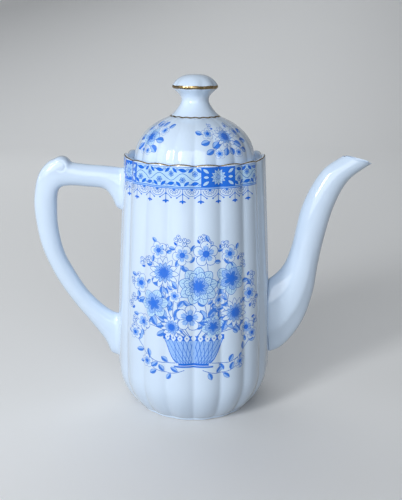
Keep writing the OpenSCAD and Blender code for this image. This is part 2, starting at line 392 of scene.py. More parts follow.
def spread(tree, fac, low, high):
    """A noise's value, which is mostly between 0.3 and 0.7, carried to a range."""
    node = tree.nodes.new("ShaderNodeMapRange")
    dial(node, {"From Min": 0.3, "From Max": 0.7, "To Min": low, "To Max": high})
    tree.links.new(fac, node.inputs["Value"])
    return node.outputs["Result"]


def mottle(tree, principled, fac, base, dark):
    """A colour where fac is 1, and a darker share of it where fac is 0."""
    tint = tree.nodes.new("ShaderNodeMix")
    tint.data_type = "RGBA"
    dial(tint, {"A": (*(c * dark for c in base), 1), "B": (*base, 1)})
    tree.links.new(fac, tint.inputs["Factor"])
    tree.links.new(tint.outputs["Result"], principled.inputs["Base Color"])


def ripple(tree, principled, fac, height, strength):
    bump = tree.nodes.new("ShaderNodeBump")
    dial(bump, {"Distance": height, "Strength": strength})
    tree.links.new(fac, bump.inputs["Height"])
    for name in ("Normal", "Coat Normal"):
        tree.links.new(bump.outputs["Normal"], principled.inputs[name])


def glaze_surface(tree, principled, place):
    """The clear glaze: a hard, smooth coat that ripples a little."""
    tree.links.new(spread(tree, noise(tree, place, 160), 0.10, 0.16), principled.inputs["Roughness"])
    ripple(tree, principled, noise(tree, place, 70, 1.0), 0.00035, 0.10)
    dial(principled, {"Coat Weight": 1.0, "Coat Roughness": 0.03, "Coat IOR": 1.5, "IOR": 1.5,
                      "Specular IOR Level": 0.15})


def clear_glaze():
    """Porcelain under a clear, faintly blue glaze, a little uneven in tone."""
    found = bpy.data.materials.get("clear_glaze")
    if found:
        return found
    material, tree, principled, place = shader("clear_glaze")
    mottle(tree, principled, spread(tree, noise(tree, place, 28), 0, 1), sizes().finish.porcelain, 0.965)
    glaze_surface(tree, principled, place)
    return material


def printed(tone):
    """A tone of the underglaze print, with the same glaze over it as the porcelain."""
    found = bpy.data.materials.get("print_" + tone)
    if found:
        return found
    material, tree, principled, place = shader("print_" + tone)
    dial(principled, {"Base Color": (*getattr(sizes().finish, tone), 1)})
    glaze_surface(tree, principled, place)
    return material


def biscuit():
    """Bare, slightly rough porcelain of the ring that stands on the table."""
    material, tree, principled, place = shader("unglazed_ring")
    mottle(tree, principled, spread(tree, noise(tree, place, 300, 4), 0, 1), sizes().finish.biscuit, 0.8)
    tree.links.new(spread(tree, noise(tree, place, 900, 4), 0.55, 0.8), principled.inputs["Roughness"])
    ripple(tree, principled, noise(tree, place, 2500, 3), 0.00008, 0.5)
    return material


def burnished_gold():
    """Fired gold, rubbed bright and a little worn; its base colour is darkened to a dark bronze as a painted
    dark reflection.
    """
    found = bpy.data.materials.get("burnished_gold")
    if found:
        return found
    material, tree, principled, place = shader("burnished_gold")
    # Base colour darkened to paint the dark reflections the gilding shows; the noise is random wear
    mottle(tree, principled, spread(tree, noise(tree, place, 260, 3), 0, 1), sizes().finish.gold, 0.62)
    tree.links.new(spread(tree, noise(tree, place, 700, 3), 0.18, 0.36), principled.inputs["Roughness"])
    ripple(tree, principled, noise(tree, place, 1500, 2), 0.00004, 0.4)
    dial(principled, {"Metallic": 1.0})
    return material


# ---- Blue print: flat drawings in millimetres that are pressed on the fluted skin ----

COBALT, MID, LINE, WASH, TINT, WHITE = range(6)
TONES = ("cobalt", "mid", "line", "wash", "tint", "porcelain")
PRINT_RADIUS = {"border": 50 * MM, "medallion": 54 * MM, "lid": 38 * MM}
RING_LIFT = 28  # places in the order between one ring of petals and the next
FILM, ORDER_STEP = 0.04, 0.002  # millimetres of the lowest patch over the skin, and of one place in the order


class Drawing:
    """A flat drawing in millimetres; the third coordinate is the order in which its patches lie."""

    def __init__(self, bm=None, columns=(), rows=()):
        self.bm = bm or bmesh.new()
        self.columns, self.rows = columns, rows
        self.laid = 0

    def lay(self, motif, x=0.0, y=0.0, turn=0.0, size=1.0, order=0):
        """Lays a motif down, cut along the columns and rows of the skin that will carry it."""
        piece = motif.bm.copy()
        self.laid += 1
        turned_by = Matrix.Rotation(math.radians(turn), 4, "Z")
        place = Matrix.Translation((x, y, order + self.laid % 12)) @ turned_by
        piece.transform(place @ Matrix.Diagonal((size, size, 1, 1)))
        for axis, lines in enumerate((self.columns, self.rows)):
            reach = [v.co[axis] for v in piece.verts]
            for line in lines[bisect_left(lines, min(reach)):bisect_right(lines, max(reach))]:
                direction = Vector((1 - axis, axis, 0))
                bmesh.ops.bisect_plane(piece, geom=piece.verts[:] + piece.edges[:] + piece.faces[:],
                                       plane_co=direction * line, plane_no=direction)
        mesh = bpy.data.meshes.new("print_patch")
        piece.to_mesh(mesh)
        piece.free()
        self.bm.from_mesh(mesh)
        bpy.data.meshes.remove(mesh)


def patch(shape, tone, rim=0.0, segments=14):
    """A patch of one tone; shape places the points of a unit circle, rim is the width of its outline."""
    bm = bmesh.new()
    bmesh.ops.create_circle(bm, cap_ends=True, segments=segments, radius=1)
    for v in bm.verts:
        v.co = (*shape(v.co.x, v.co.y), 0)
    for f in bm.faces:
        f.material_index = LINE if tone is None else tone
    if rim:
        edge = bmesh.ops.inset_individual(bm, faces=bm.faces[:], thickness=rim, use_even_offset=True)["faces"]
        for f in edge:
            f.material_index = LINE
        if tone is None:
            bmesh.ops.delete(bm, geom=[f for f in bm.faces if f not in edge], context="FACES_ONLY")
    return Drawing(bm)


def petal(length, width, tone, rim=0.28, tip=0.5):
    """A petal that points right from its root at the origin; more tip makes it more pointed."""
    def shape(x, y):
        return length * (x + 1) / 2, width / 2 * y * (0.8 + 0.45 * x) * (1 - tip * max(x, 0) ** 2)
    return patch(shape, tone, rim)


def leaf(length, width, tone=COBALT, rim=0.0, point=1.0):
    """A leaf with two points, its middle at the origin; less point makes it rounder."""
    return patch(lambda x, y: (length / 2 * x, width / 2 * y * abs(y) ** point), tone, rim)


def disc(radius, tone, rim=0.0):
    return patch(lambda x, y: (radius * x, radius * y), tone, rim, 12)


def block(width, height, tone):
    """A rectangle with its lower left corner at the origin."""
    bm = bmesh.new()
    bmesh.ops.create_grid(bm, x_segments=1, y_segments=1, size=0.5)
    bm.transform(Matrix.Diagonal((width, height, 1, 1)) @ Matrix.Translation((0.5, 0.5, 0)))
    for f in bm.faces:
        f.material_index = tone
    return Drawing(bm)


def stroke(points, wide=0.34, thin=None, tone=LINE, steps=5):
    """A line drawn through points, from its full width to its thin end."""
    thin = wide if thin is None else thin
    last = len(points) - 1
    rows = []
    for k in range(steps * last + 1):
        t = k / steps
        x, y = through(points, t)
        back, on = through(points, max(t - 0.05, 0)), through(points, min(t + 0.05, last))
        across = Vector((back[1] - on[1], on[0] - back[0], 0)).normalized()
        side = across * (wide + (thin - wide) * t / last) / 2
        rows.append((Vector((x, y, 0)) + side, Vector((x, y, 0)) - side))
    bm, _, _ = drawn(rows, closed=False)
    for f in bm.faces:
        f.material_index = tone
    return Drawing(bm)


def blossom(radius, rings, width=0.62, core=0.16, rim=0.28, tip=0.5, veins=0, rays=0):
    """Rings of petals round a dark eye with rays; a ring has its number of petals, its share of the
    radius, its tone and the tone of its inner half."""
    flower = Drawing()
    for i, (number, reach, tone, inner) in enumerate(rings):
        size = radius * reach
        one = Drawing()
        one.lay(petal(size, size * width, tone, rim, tip))
        if inner is not None:
            one.lay(petal(size * 0.66, size * width * 0.55, inner, 0, 0.8), order=12)
        for k in range(veins):
            side = k - (veins - 1) / 2
            y = side * size * width * 0.2
            vein = [(size * 0.34, y * 0.6), (size * (0.88 - 0.1 * abs(side)), y)]
            one.lay(stroke(vein, 0.3, 0.16, LINE, 1), order=12)
        for k in range(number):
            flower.lay(one, turn=360 * (k + i / 2) / number, order=RING_LIFT * i)
    top = RING_LIFT * len(rings) + 1
    for k in range(rays):
        ray = [(radius * core * 0.5, 0), (radius * (0.4 - 0.07 * (k % 2)), 0)]
        flower.lay(stroke(ray, 0.62, 0.16, COBALT, 1), turn=360 * k / rays, order=top)
    flower.lay(disc(radius * core, COBALT), order=top + 12)
    return flower


def veined(length, width):
    """A round leaf, one half shaded, with its outline and midrib."""
    d = Drawing()
    d.lay(leaf(length, width, WASH, 0.32, 0.5))
    d.lay(patch(lambda x, y: (length * 0.46 * x, width * 0.4 * max(y, 0) ** 1.2), MID), order=12)
    midrib = [(-length * 0.62, -width * 0.08), (0, 0), (length * 0.44, 0)]
    d.lay(stroke(midrib, 0.36, 0.14, COBALT, 3), order=14)
    return d


def berries(radius=1.5):
    """Three open berries and a small leaf on a short stalk."""
    d = Drawing()
    d.lay(stroke([(0, 0), (1.6, 0.3), (3.4, 0)], 0.34, 0.24, steps=3))
    d.lay(leaf(3.2, 1.7), 0.6, 1.4, 55)
    for x, y in ((3.4, 1.6), (3.6, -1.5), (5.6, 0.2)):
        d.lay(disc(radius, WHITE, 0.34), x, y)
        d.lay(disc(radius * 0.32, MID), x + 0.3, y, order=12)
    return d


def on_pot(angle, height):
    r = skin_radius(angle, height)
    return Vector((r * math.cos(angle), r * math.sin(angle), height))


def on_lid(angle, rise):
    """A point of the dome; rise is the length up along it from its foot."""
    p = sizes().pot
    t = rise / (DOME_RISE * MM)
    r, z = dome_point(t)
    r -= dome_groove(t) * dip(angle, p.lobes, p.softness)
    return Vector((r * math.cos(angle), r * math.sin(angle), z))


def skin_columns(radius):
    """Where the skin's columns of faces meet, in millimetres along a drawing."""
    steps = LOBE_COLUMNS * sizes().pot.lobes
    return [2 * math.pi * k / steps * radius / MM for k in range(-steps, steps + 1)]


def pressed(name, drawing, skin, radius, body, mirrored=False):
    """The drawing as a film on a skin, with the skin's own normals."""
    bm = drawing.bm
    facing = bm.verts.layers.float_vector.new("facing")
    bm.normal_update()
    bmesh.ops.reverse_faces(bm, faces=[f for f in bm.faces if f.normal.z < 0])
    small = 0.05 * MM
    for v in bm.verts:
        angle, y = v.co.x * MM / radius - math.pi / 2, v.co.y * MM
        point = skin(angle, y)
        normal = (skin(angle + small / radius, y) - point).cross(skin(angle, y + small) - point).normalized()
        v[facing] = normal
        v.co = point + normal * (FILM + ORDER_STEP * v.co.z) * MM
    if mirrored:
        twin = bmesh.ops.duplicate(bm, geom=bm.verts[:] + bm.edges[:] + bm.faces[:])["geom"]
        verts = [g for g in twin if isinstance(g, bmesh.types.BMVert)]
        bmesh.ops.scale(bm, vec=(1, -1, 1), verts=verts)
        bmesh.ops.reverse_faces(bm, faces=[g for g in twin if isinstance(g, bmesh.types.BMFace)])
        for v in verts:
            v[facing] *= Vector((1, -1, 1))
    normals = [v[facing].copy() for v in bm.verts]
    bm.verts.layers.float_vector.remove(facing)
    finished(name, bm, body, None, [printed(tone) for tone in TONES], normals=normals)


# ---- Operators, one for each piece ----

class POT_OT_body(Operator):
    """Throw the fluted pot with its wavy lip, seat, throat, hollow and foot ring"""
    bl_idname = "coffee_pot.body"
    bl_label = "Pot Body"

    def execute(self, context):
        p = sizes().pot
        deep = p.groove / p.rim_radius
        foot, ring = p.foot_radius, p.ring_radius
        ring_in = ring - p.groove * 0.4 - p.ring
        profile = [(0, p.recess), (ring_in * 0.5, p.recess + 0.3 * MM), (ring_in - 1.6 * MM, p.recess),
                   (ring_in - 0.7 * MM, p.recess - 0.5 * MM), (ring_in - 0.1 * MM, 0.5 * MM),
                   (ring_in + 0.4 * MM, 0.1 * MM), (ring_in + MM, 0)]
        profile = [(r, z, 0, 0) for r, z in profile]
        for out, z in ((-1.0, 0), (-0.4, 0.12), (-0.1, 0.4), (0, 0.9), (0, 1.9), (0.12, 2.35), (0.6, 2.65)):
            profile.append((ring + out * MM, z * MM, p.groove * 0.4, 0))
        under = p.ring_height
        profile += [(foot - 0.75 * MM, under - 0.3 * MM, p.groove * 0.6, 0),
                    (foot - 0.2 * MM, under - 0.12 * MM, p.groove * 0.7, 0),
                    (side_radius(under + 0.25 * MM), under + 0.25 * MM, p.groove * 0.8, 0),
                    (side_radius(under + MM), under + MM, p.groove * 0.85, 0)]
        profile += [(side_radius(z), z, deep * side_radius(z), 0) for z in side_rows()]
        top = p.rim_height - p.wave
        for drop, fade in ((2.8, 0.3), (1.9, 0.7)):
            z = top - drop * MM
            profile.append((side_radius(z), z, p.groove, p.wave * fade))
        for out, drop, depth in (
                (0, 1.0, 1), (0.1, 0.55, 1), (0.35, 0.22, 0.97), (0.75, 0.04, 0.9), (1.2, 0, 0.8),
                (1.7, 0.1, 0.6), (2.1, 0.35, 0.45), (2.5, 0.8, 0.3), (2.8, 1.4, 0.15)):
            profile.append((p.rim_radius - out * MM, top - drop * MM, p.groove * depth, p.wave))
        inner = p.rim_radius - p.lip
        seat_z = p.rim_height - p.seat
        neck_z = seat_z - p.seat
        shoulder_z = neck_z - 1.2 * (side_radius(neck_z) - p.wall - p.throat)
        rest = [(inner, seat_z + 1.4 * MM), (inner, seat_z + 0.3 * MM), (inner - 0.3 * MM, seat_z),
                (p.throat + 0.5 * MM, seat_z), (p.throat, seat_z - 0.5 * MM), (p.throat, neck_z + 0.6 * MM),
                (p.throat + 0.15 * MM, neck_z),
                (side_radius(shoulder_z) - p.wall - 0.4 * MM, shoulder_z + 0.7 * MM),
                (side_radius(shoulder_z) - p.wall, shoulder_z - 0.4 * MM)]
        side_z = p.floor + p.corner
        side_r = side_radius(side_z) - p.wall
        for k in range(1, 24):
            z = shoulder_z + (side_z - shoulder_z) * k / 23
            rest.append((side_radius(z) - p.wall, z))
        for k in range(1, 13):
            a = math.pi / 2 * k / 12
            rest.append((side_r - p.corner * (1 - math.cos(a)), side_z - p.corner * math.sin(a)))
        rest += [(side_r * 0.32, p.floor), (0, p.floor)]
        profile += [(r, z, 0, 0) for r, z in rest]
        bm = fluted(profile)
        for f in bm.faces:
            middle = f.calc_center_median()
            if middle.z < 0.3 * MM and math.hypot(middle.x, middle.y) > ring_in:
                f.material_index = 1
        obj = finished("pot_body_glazed", bm, "pot", ["pot_body"], [clear_glaze(), biscuit()])
        pierce(obj, strainer())
        return {"FINISHED"}


def strainer():
    """The drills of the holes behind the spout."""
    p, s = sizes().pot, sizes().spout
    bm = bmesh.new()
    middle = s.foot + 0.185 * (s.top - s.foot)
    for k in range(5):
        z = middle + (k - 2) * p.hole_step
        for y in (-0.65, 0.65) if k % 2 == 0 else (0,):
            place = Matrix.Translation((p.rim_radius + 3 * MM, y * p.hole_step, z))
            bmesh.ops.create_cone(bm, cap_ends=True, segments=32, radius1=p.hole / 2, radius2=p.hole / 2,
                                  depth=16 * MM, matrix=place @ Matrix.Rotation(math.pi / 2, 4, "Y"))
    return bm


def pierce(obj, drills):
    """Cuts drills out of a piece and keeps the result as its mesh."""
    mesh = bpy.data.meshes.new("drills")
    drills.to_mesh(mesh)
    drills.free()
    tool = placed("drills", mesh)
    cut = obj.modifiers.new("holes", "BOOLEAN")
    cut.operation = "DIFFERENCE"
    cut.object = tool
    cut.solver = "EXACT"
    bake_modifiers(obj)
    bpy.data.objects.remove(tool)


def bake_modifiers(obj):
    """Keeps what the modifiers make as the piece's own mesh."""
    graph = bpy.context.evaluated_depsgraph_get()
    made = bpy.data.meshes.new_from_object(obj.evaluated_get(graph))
    obj.modifiers.clear()
    old = obj.data
    obj.data = made
    bpy.data.meshes.remove(old)


# Stations of the spout: outer outline (out, up), inner outline (out, up), as shares from the root
SPOUT_SHARES = [
    (0.00, 0.00, 0.00, 0.38), (0.22, 0.04, 0.14, 0.43), (0.41, 0.17, 0.23, 0.49), (0.51, 0.33, 0.29, 0.58),
    (0.55, 0.49, 0.325, 0.67), (0.60, 0.64, 0.365, 0.77), (0.68, 0.80, 0.44, 0.87), (0.80, 0.92, 0.56, 0.97),
    (1.00, 1.00, 0.73, 1.035)]

# The same for the handle, then its width, which is also how square it is
HANDLE_SHARES = [
    (0.00, 0.985, 0.00, 0.78, 1), (0.05, 0.985, 0.097, 0.783, 1), (0.12, 0.99, 0.16, 0.84, 1),
    (0.23, 0.995, 0.24, 0.88, 1), (0.39, 1.00, 0.42, 0.89, 1), (0.57, 1.01, 0.60, 0.895, 1.05),
    (0.77, 1.028, 0.70, 0.885, 1.12), (0.93, 0.955, 0.74, 0.85, 1.1), (0.995, 0.83, 0.75, 0.79, 1.02),
    (0.985, 0.71, 0.75, 0.69, 1), (0.925, 0.57, 0.70, 0.565, 1), (0.785, 0.42, 0.60, 0.465, 1),
    (0.605, 0.29, 0.455, 0.355, 1), (0.42, 0.18, 0.29, 0.275, 1), (0.265, 0.08, 0.17, 0.237, 1),
    (0.20, 0.012, 0.06, 0.218, 1), (0.10, 0.00, 0.02, 0.213, 1), (0.00, 0.00, 0.00, 0.213, 1)]

# The line of the groove that winds in round the scroll's cheek, in scroll radii from its middle
SCROLL_LINE = [
    (-2.12, -1.13), (-2.0, -0.90), (-1.68, -0.46), (-1.35, -0.15), (-1.04, 0.07), (-0.71, 0.31),
    (-0.26, 0.56), (0.15, 0.54), (0.43, 0.29), (0.49, -0.04), (0.32, -0.34), (0.03, -0.44), (-0.24, -0.29)]


def squared(value, power):
    return math.copysign(abs(value) ** power, value)


def oval(station, inset, count_round, lift=0.0, keel=0.0, power=1.0):
    """A ring between an outer and an inner outline; keel draws its lower sides in, power squares it."""
    crease = sizes().spout.crease
    a, b = Vector((station[0], 0, station[1])), Vector((station[2], 0, station[3]))
    arm = (a - b) / 2
    reach = arm * (1 - inset / arm.length)
    half = station[4] - inset
    along = Vector((-arm.z, 0, arm.x)).normalized() * lift
    ring = []
    for i in range(count_round):
        angle = 2 * math.pi * i / count_round
        c, s = squared(math.cos(angle), power), squared(math.sin(angle), power)
        low = max(0.0, (c - crease) / (1 - crease))
        side = half * (s - math.copysign(4 * keel * low * (1 - low), s))
        ring.append((a + b) / 2 + reach * c + Vector((0, side, 0)) + along)
    return ring


class POT_OT_spout(Operator):
    """Draw the hollow S-curved spout from its root to the pouring lip"""
    bl_idname = "coffee_pot.spout"
    bl_label = "Spout"

    def execute(self, context):
        s, p = sizes().spout, sizes().pot
        root = p.rim_radius - MM
        out, up, last = s.reach - root, s.top - s.foot, len(SPOUT_SHARES) - 1
        stations = []
        for k, (ax, az, bx, bz) in enumerate(SPOUT_SHARES):
            half = s.root + (s.mouth - s.root) * (k / last) ** 1.5
            stations.append((root + ax * out, s.foot + az * up, root + bx * out, s.foot + bz * up, half))
        close = 1.35  # the rings up to this station lie closer, for the seam at the pot
        steps = [0.015 * k for k in range(90)] + [close + (last - close) * k / 84 for k in range(85)]

        def keel(t):
            return s.keel * max(0.0, 1 - t / 4.5)

        rings = [oval(through(stations, t), 0, SPOUT_ROUND, 0, keel(t)) for t in steps]
        for inset, lift in ((0.15, 0.35), (0.5, 0.62), (1.0, 0.7), (1.5, 0.5), (1.9, 0.05), (2.15, -0.8)):
            rings.append(oval(stations[-1], inset * MM, SPOUT_ROUND, -lift * MM))
        channel = [last - 0.12 - (last - 0.12) * k / 60 for k in range(61)]
        rings += [oval(through(stations, t), s.wall, SPOUT_ROUND, 0, keel(t)) for t in channel]
        bm, start, end = drawn(rings)
        bmesh.ops.recalc_face_normals(bm, faces=bm.faces)
        bm.normal_update()
        bm.verts.index_update()
        ring_of = {v: i // SPOUT_ROUND for i, v in enumerate(bm.verts)}
        outer = [v for v in bm.verts if ring_of[v] < len(steps)]
        inner = [v for v in bm.verts if ring_of[v] >= len(steps)]
        seat_on_pot(bm, s.fillet, outer)
        seat_on_pot(bm, 0.01 * MM, inner)
        bmesh.ops.bridge_loops(bm, edges=start + end)
        bmesh.ops.recalc_face_normals(bm, faces=bm.faces)
        finished("spout_glazed", bm, "pot", ["spout"], [clear_glaze()])
        return {"FINISHED"}


class POT_OT_handle(Operator):
    """Pull the strap handle, roll its thumb scroll and join both roots softly to the pot"""
    bl_idname = "coffee_pot.handle"
    bl_label = "Handle"

    def execute(self, context):
        h, p = sizes().handle, sizes().pot
        root = p.rim_radius - MM
        out, up = h.reach - root, h.arm - h.foot
        stations = [(-root - ax * out, h.foot + az * up, -root - bx * out, h.foot + bz * up, h.half * wide)
                    for ax, az, bx, bz, wide in HANDLE_SHARES]
        last = len(stations) - 1
        rings = []
        for k in range(171):
            station = through(stations, last * k / 170)
            rings.append(oval(station, 0, HANDLE_ROUND, power=1 - 2.5 * max(station[4] / h.half - 1, 0)))
        bm, start, end = drawn(rings)
        for edges in (start, end):
            bmesh.ops.contextual_create(bm, geom=edges)
        centre = Vector((h.scroll_in - h.reach, 0, h.arm - 0.9 * MM))
        cheek = h.scroll_half - 0.4 * MM
        outline = [(0, h.scroll_half), (h.scroll * 0.45, cheek - 0.5 * MM)]
        outline += [(h.scroll - 2.8 * MM * (1 - math.cos(a)), cheek - 4.6 * MM * (1 - math.sin(a)))
                    for a in (math.pi / 2 * k / 5 for k in range(5, -1, -1))]
        outline += [(r, -y) for r, y in reversed(outline)]
        verts = [bm.verts.new(centre + Vector((0, y, r))) for r, y in outline]
        edges = [bm.edges.new(pair) for pair in zip(verts, verts[1:])]
        bmesh.ops.spin(bm, geom=verts + edges, cent=centre, axis=(0, 1, 0), dvec=(0, 0, 0),
                       angle=2 * math.pi, steps=48, use_merge=True, use_duplicate=False)
        bmesh.ops.remove_doubles(bm, verts=bm.verts, dist=1e-6)
        bmesh.ops.recalc_face_normals(bm, faces=bm.faces)
        obj = finished("handle_glazed", bm, "pot", ["handle"], [clear_glaze()], 0)
        join = obj.modifiers.new("join", "REMESH")
        join.mode = "VOXEL"
        join.voxel_size = 0.42 * MM
        join.use_smooth_shade = True
        bake_modifiers(obj)
        bm = bmesh.new()
        bm.from_mesh(obj.data)
        self.smooth(bm, bm.verts, 14)
        self.smooth(bm, [v for v in bm.verts if (v.co - centre).length < 2 * h.scroll], 40)
        self.carve_scroll(bm, centre, h)
        seat_on_pot(bm, h.fillet, upright=0.3)
        bm.to_mesh(obj.data)
        bm.free()
        return {"FINISHED"}

    def smooth(self, bm, verts, times):
        for _ in range(times):
            bmesh.ops.smooth_vert(bm, verts=verts, factor=0.5,
                                  use_axis_x=True, use_axis_y=True, use_axis_z=True)

    def carve_scroll(self, bm, centre, h):
        """A soft groove that winds in from the handle's back round the scroll's cheek."""
        steps = 240
        line = KDTree(steps + 1)
        for k in range(steps + 1):
            x, z = through(SCROLL_LINE, (len(SCROLL_LINE) - 1) * k / steps)
            line.insert((x * h.scroll, 0, z * h.scroll), k)
        line.balance()
        for v in bm.verts:
            d = v.co - centre
            if d.length > h.scroll * 3 or abs(v.normal.y) < 0.2:
                continue
            _, k, off = line.find((d.x, 0, d.z))
            depth = h.groove * (1 - 0.7 * k / steps)
            v.co.y -= math.copysign(depth * math.exp(-(off / (0.6 * MM)) ** 2), d.y)


class POT_OT_lid(Operator):
    """Turn the fluted dome of the lid with its skirt and hollow"""
    bl_idname = "coffee_pot.lid"
    bl_label = "Lid Dome"

    def execute(self, context):
        d = sizes().lid
        hollow = d.skirt_radius - d.skirt_wall
        top = d.seat + d.dome
        under = [(hollow, d.seat, 0), (hollow, d.seat + 0.44 * d.dome, 0),
                 (hollow - 8 * MM, top - d.wall - 2 * MM, 0), (0, top - d.wall, 0)]
        profile = [tuple(bezier(under, 1 - k / 24).xy) for k in range(25)]
        low = d.seat - d.skirt
        out = d.skirt_radius
        profile += [(hollow, d.seat - 0.5 * d.skirt), (hollow, low + 0.8 * MM),
                    (hollow + 0.3 * MM, low + 0.2 * MM), (hollow + 0.9 * MM, low),
                    (out - 0.9 * MM, low), (out - 0.3 * MM, low + 0.2 * MM),
                    (out, low + 0.8 * MM), (out, d.seat - 0.7 * MM), (out + 0.3 * MM, d.seat - 0.1 * MM),
                    (out + 0.8 * MM, d.seat)]
        profile = [(r, z, 0, 0) for r, z in profile]
        profile += [(d.radius - 0.9 * MM, d.seat, d.groove * 0.8, 0),
                    (d.radius - 0.3 * MM, d.seat + 0.15 * MM, d.groove * 0.95, 0),
                    (d.radius, d.seat + 0.7 * MM, d.groove, 0)]
        for t in (dome_share(k) for k in range(1, DOME_ROWS + 1)):
            r, z = dome_point(t)
            profile.append((r, z, dome_groove(t), 0))
        profile += [(d.collar - 1.5 * MM, top - 0.1 * MM, 0, 0), (0, top - 0.1 * MM, 0, 0)]
        bm = fluted(profile)
        finished("lid_dome_glazed", bm, "lid", ["lid_dome"], [clear_glaze()])
        return {"FINISHED"}


def knob_profile():
    """Radius and height of the knob over its lobes, from the collar to the top."""
    d = sizes().lid
    n, k, b, t = d.neck, d.knob, d.band, d.knob_height
    flare = [(d.collar - 0.05 * MM, 0, 0), (n + 4.2 * MM, 3.2 * MM, 0), (n + 0.5 * MM, 7.5 * MM, 0),
             (n, d.neck_height, 0)]
    swell = [(n, d.neck_height, 0), (n, d.neck_height + 4.5 * MM, 0), (k - 1.4 * MM, b - 3.2 * MM, 0),
             (k, b, 0)]
    cap = [(k, b, 0), (k - 0.6 * MM, b + 3.4 * MM, 0), (k * 0.62, t, 0), (k * 0.2, t, 0)]
    points = []
    for i, curve in enumerate((flare, swell, cap)):
        points += [tuple(bezier(curve, j / 14).xy) for j in range(0 if i == 0 else 1, 15)]
    return [(r, d.seat + d.dome + z) for r, z in points]


def knob_groove(r, z):
    """Depth of the hollows between the knob's lobes, which fade out down to the neck."""
    d = sizes().lid
    if z <= d.seat + d.dome + d.neck_height:
        return 0
    return d.knob_groove * max(0.0, (r - d.neck) / (d.knob - d.neck))


class POT_OT_knob(Operator):
    """Turn the lobed knob on its waisted neck"""
    bl_idname = "coffee_pot.knob"
    bl_label = "Lid Knob"

    def execute(self, context):
        d = sizes().lid
        base = d.seat + d.dome
        profile = [(r, z, knob_groove(r, z), 0) for r, z in knob_profile()]
        bm = knob_lobed([(0, base - 0.05 * MM, 0, 0), *profile, (0, base + d.knob_height, 0, 0)])
        finished("lid_knob_glazed", bm, "lid", ["lid_knob"], [clear_glaze()])
        return {"FINISHED"}


class POT_OT_gilding(Operator):
    """Lay the gold lines on the rim, the knob's band and the collar"""
    bl_idname = "coffee_pot.gilding"
    bl_label = "Gilding"

    def execute(self, context):
        p, d = sizes().pot, sizes().lid
        top, lift = p.rim_height - p.wave, 0.05 * MM
        rim = [(0.10, 0.75), (0.1, 0.55), (0.35, 0.22), (0.6, 0.09)]
        outer = [(p.rim_radius - out * MM + lift, top - drop * MM + lift * 0.6, p.groove, p.wave)
                 for out, drop in rim]
        inner = [(r - 2 * lift, z - 2 * lift, g, w) for r, z, g, w in reversed(outer)]
        band = fluted(outer + inner + outer[:1])
        finished("rim_gilding", band, "pot", None, [burnished_gold()])

        base = d.seat + d.dome
        middle = base + d.band
        self.strip("knob_gilding", middle - 1.15 * MM, middle + 1.0 * MM, lift, 0.16 * MM, d.knob_lobes)
        self.strip("collar_gilding", base + 0.16 * MM, base + 0.9 * MM, lift, 0.14 * MM, p.lobes)
        return {"FINISHED"}

    def strip(self, name, low, high, lift, wave, waves):
        """A thin band of gold that follows the knob's profile between two heights and waves up and down."""
        points = knob_profile()

        def radius(z):
            for (r0, z0), (r1, z1) in zip(points, points[1:]):
                if z0 <= z <= z1 and z1 > z0:
                    return r0 + (r1 - r0) * (z - z0) / (z1 - z0)
            return points[-1][0]

        heights = [low + (high - low) * k / 18 for k in range(19)]
        outer = [(radius(z) + lift, z, knob_groove(radius(z), z), 0) for z in heights]
        inner = [(r - 2 * lift, z, g, w) for r, z, g, w in reversed(outer)]
        band = knob_lobed(outer + inner + outer[:1])
        for v in band.verts:
            x, y, z = v.co
            r, shift = math.hypot(x, y), wave * math.cos(waves * (math.atan2(y, x) + math.pi / 2))
            grown = (r + radius(z + shift) - radius(z)) / r
            v.co = (x * grown, y * grown, z + shift)
        finished(name, band, "lid", None, [burnished_gold()])


def polar(reach, degrees):
    """The point at a distance and in a direction from the origin."""
    angle = math.radians(degrees)
    return reach * math.cos(angle), reach * math.sin(angle)


# The border in millimetres: its lower and upper edge, its ends, and the width of a panel and of a full vine
BORDER_LOW, BORDER_HIGH, BORDER_START, BORDER_END = 169.5, 182.2, -78.0, 49.2
BORDER_MIDDLE = (BORDER_LOW + BORDER_HIGH) / 2
PANEL, VINE = 23.5, 47.8
# Left edge of each panel, and the room for the vine beside it
PANELS = [(-67.2, VINE), (4.2, 21.6)]


